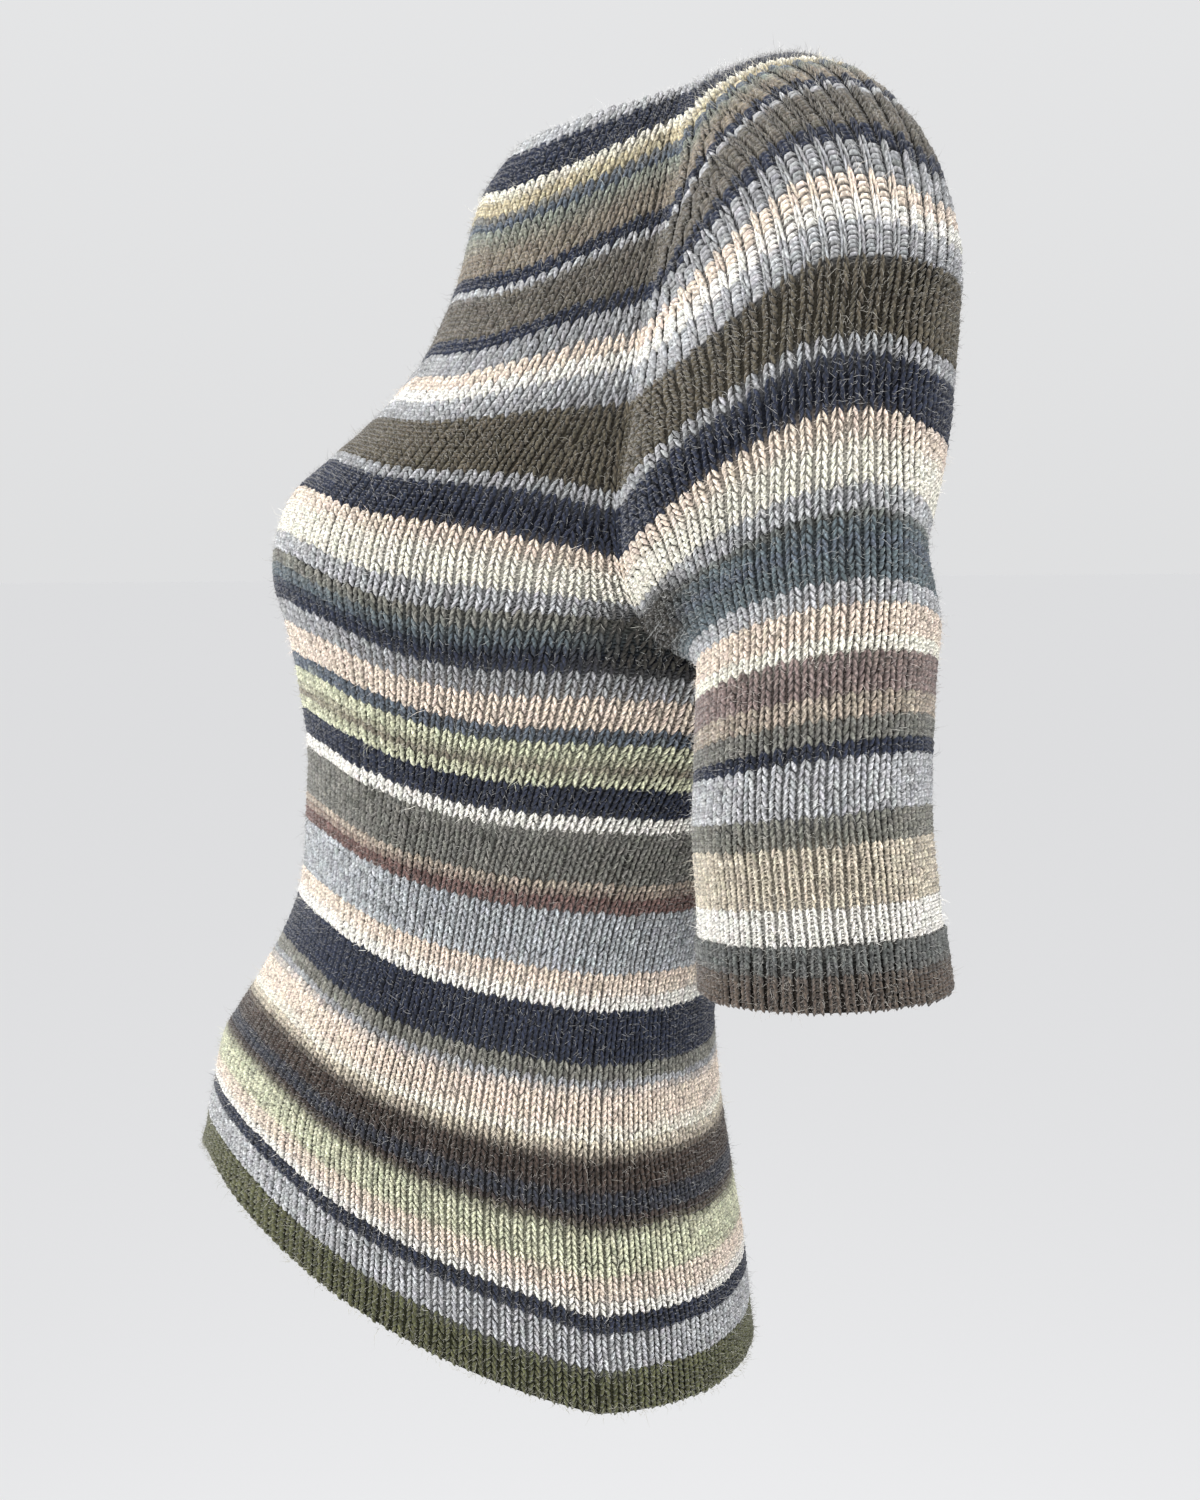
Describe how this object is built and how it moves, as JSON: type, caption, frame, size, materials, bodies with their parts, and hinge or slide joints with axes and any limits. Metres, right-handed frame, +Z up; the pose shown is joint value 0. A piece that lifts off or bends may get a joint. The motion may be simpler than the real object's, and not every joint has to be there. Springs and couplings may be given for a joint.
{
  "type": "short-sleeved knitted pullover",
  "caption": "Hand-knitted striped pullover with a round raglan yoke, elbow sleeves and an open neck, standing in its worn form with nobody inside.",
  "frame": {"origin": "middle of the neck opening between the shoulders, where the wearer carries the garment", "axes": "+Z up along the standing wearer, -Y the way the wearer faces, +X to the wearer's left"},
  "size_m": [0.495, 0.3311, 0.6298],
  "materials": {
    "knit_front": "self-striping wool yarn, lightly brushed, matt",
    "knit_back": "self-striping wool yarn, lightly brushed, matt",
    "knit_sleeve": "self-striping wool yarn, lightly brushed, matt",
    "knit_cuff": "the sleeve's yarn in dark slate and brown, matt"
  },
  "bodies": {
    "root": {"front": "knit_front", "back": "knit_back", "sleeve_left": "knit_sleeve", "sleeve_right": "knit_sleeve", "cuff_left": "knit_cuff", "cuff_right": "knit_cuff"}
  },
  "joints": []
}
